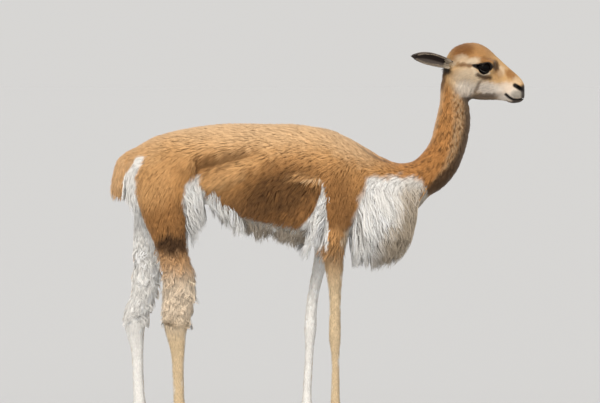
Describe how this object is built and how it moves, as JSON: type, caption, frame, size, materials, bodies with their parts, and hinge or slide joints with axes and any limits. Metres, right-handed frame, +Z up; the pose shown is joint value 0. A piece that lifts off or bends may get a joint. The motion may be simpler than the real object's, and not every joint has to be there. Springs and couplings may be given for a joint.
{
  "type": "vicuna",
  "caption": "Life-size standing vicuna, head up, with a long white bib of chest hair, shaggy hind legs and ears laid back.",
  "frame": {"origin": "on the ground, under the middle of the bounding box", "axes": "+X towards the head, +Y to the animal's left, +Z up"},
  "size_m": [1.0952, 0.2823, 1.0468],
  "materials": {
    "coat_tan": "soft short wool, tan to orange-brown",
    "coat_white": "long silky hair, white to cream",
    "coat_grey": "short grey-brown fur",
    "eye": "wet, glossy black-brown",
    "nail": "dark horn, satin"
  },
  "bodies": {
    "root": {"head": "coat_tan", "ear_left": "coat_grey", "ear_right": "coat_grey", "eye_left": "eye", "eye_right": "eye", "neck": "coat_tan", "chest": "coat_white", "barrel": "coat_tan", "hindquarters": "coat_tan", "tail": "coat_tan", "thigh_left": "coat_tan", "thigh_right": "coat_tan", "shank_left": "coat_white", "shank_right": "coat_white", "hind_cannon_left": "coat_white", "hind_cannon_right": "coat_white", "foot_hind_left": "coat_white", "foot_hind_right": "coat_white", "forearm_left": "coat_white", "forearm_right": "coat_white", "fore_cannon_left": "coat_white", "fore_cannon_right": "coat_white", "foot_fore_left": "coat_white", "foot_fore_right": "coat_white", "nail_hind_left_inner": "nail", "nail_hind_left_outer": "nail", "nail_hind_right_inner": "nail", "nail_hind_right_outer": "nail", "nail_fore_left_inner": "nail", "nail_fore_left_outer": "nail", "nail_fore_right_inner": "nail", "nail_fore_right_outer": "nail"}
  },
  "joints": []
}
